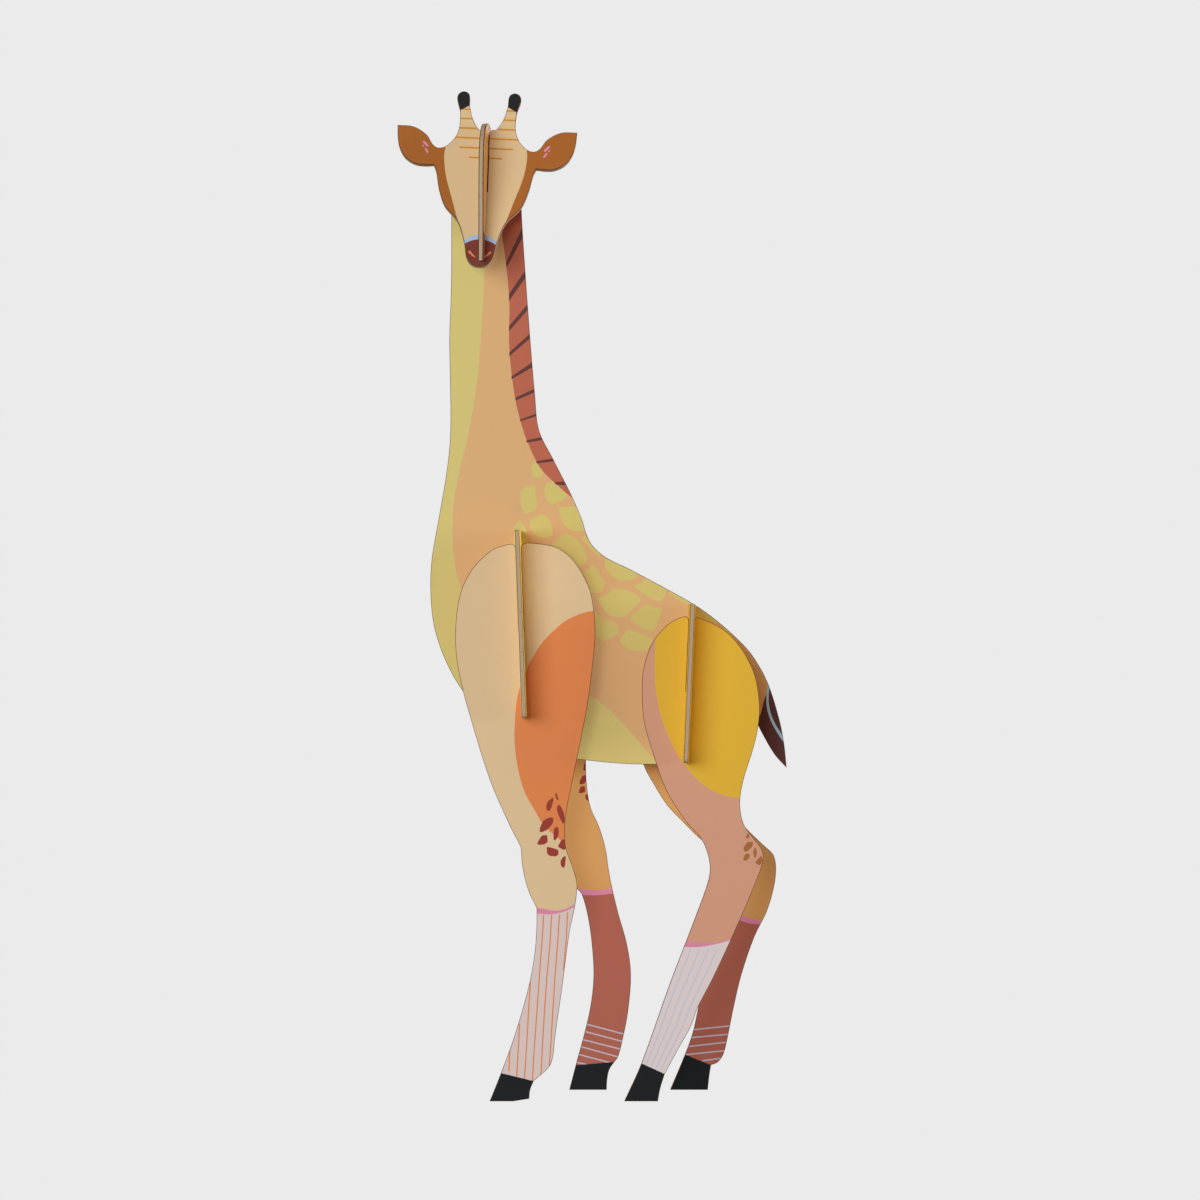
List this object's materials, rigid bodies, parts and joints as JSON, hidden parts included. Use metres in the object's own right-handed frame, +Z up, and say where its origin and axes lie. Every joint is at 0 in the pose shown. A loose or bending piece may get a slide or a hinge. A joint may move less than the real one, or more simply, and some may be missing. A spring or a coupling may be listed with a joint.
{
  "type": "slot-together giraffe figure",
  "caption": "Standing giraffe figure of flat printed grey boards that slot together, with two cross fins, separate legs and a turned, tilted face plate.",
  "frame": {"origin": "middle of the ground rectangle under the whole figure, at hoof sole level", "axes": "+Z up, the chest points along -X and the tail along +X, the face looks along -Y"},
  "size_m": [0.1554, 0.066, 0.4019],
  "materials": {
    "grey_board": "matt grey board, fibrous cut edge",
    "body_print": "matt printed paper, tan neck with a green chest, maroon mane and green patches",
    "shoulder_fin_print": "matt printed paper, cream yellow",
    "hip_fin_print": "matt printed paper, ochre yellow",
    "front_leg_print": "matt printed paper, cream with an orange thigh, pale sock and black hoof",
    "hind_leg_print": "matt printed paper, yellow thigh, pink tan shank, pale sock and black hoof",
    "leg_inner_print": "matt printed paper, ochre with a maroon sock and black hoof",
    "face_print": "matt printed paper, cream face, brown ears, maroon muzzle",
    "face_back_print": "matt printed paper, plain brown",
    "ridge_print": "matt printed paper, cream with ochre lines"
  },
  "bodies": {
    "body": {"body_core": "grey_board", "body_print_left": "body_print", "body_print_right": "body_print"},
    "shoulder_fin": {"shoulder_fin_core": "grey_board", "shoulder_fin_print_front": "shoulder_fin_print", "shoulder_fin_print_back": "shoulder_fin_print"},
    "hip_fin": {"hip_fin_core": "grey_board", "hip_fin_print_front": "hip_fin_print", "hip_fin_print_back": "hip_fin_print"},
    "left_front_leg": {"left_front_leg_core": "grey_board", "left_front_leg_print_outer": "front_leg_print", "left_front_leg_print_inner": "leg_inner_print"},
    "right_front_leg": {"right_front_leg_core": "grey_board", "right_front_leg_print_outer": "front_leg_print", "right_front_leg_print_inner": "leg_inner_print"},
    "left_hind_leg": {"left_hind_leg_core": "grey_board", "left_hind_leg_print_outer": "hind_leg_print", "left_hind_leg_print_inner": "leg_inner_print"},
    "right_hind_leg": {"right_hind_leg_core": "grey_board", "right_hind_leg_print_outer": "hind_leg_print", "right_hind_leg_print_inner": "leg_inner_print"},
    "face": {"face_core": "grey_board", "face_print_front": "face_print", "face_print_back": "face_back_print"},
    "ridge": {"ridge_core": "grey_board", "ridge_print_left": "ridge_print", "ridge_print_right": "ridge_print"}
  },
  "joints": [
    {"name": "shoulder_fin_slot", "type": "slide", "parent": "body", "child": "shoulder_fin", "axis": [0.0366, 0, -0.9993], "range_m": [0, 0.05]},
    {"name": "hip_fin_slot", "type": "slide", "parent": "body", "child": "hip_fin", "axis": [-0.0436, 0, -0.999], "range_m": [0, 0.034]},
    {"name": "left_front_leg_slot", "type": "slide", "parent": "shoulder_fin", "child": "left_front_leg", "axis": [0.0366, 0, -0.9993], "range_m": [0, 0.036]},
    {"name": "right_front_leg_slot", "type": "slide", "parent": "shoulder_fin", "child": "right_front_leg", "axis": [0.0366, 0, -0.9993], "range_m": [0, 0.036]},
    {"name": "left_hind_leg_slot", "type": "slide", "parent": "hip_fin", "child": "left_hind_leg", "axis": [-0.0436, 0, -0.999], "range_m": [0, 0.03]},
    {"name": "right_hind_leg_slot", "type": "slide", "parent": "hip_fin", "child": "right_hind_leg", "axis": [-0.0436, 0, -0.999], "range_m": [0, 0.03]},
    {"name": "ridge_slot", "type": "slide", "parent": "body", "child": "ridge", "axis": [-0.0227, 0, 0.9997], "range_m": [0, 0.02]},
    {"name": "face_slot", "type": "slide", "parent": "ridge", "child": "face", "axis": [-0.0203, -0.3395, -0.9404], "range_m": [0, 0.032]}
  ]
}
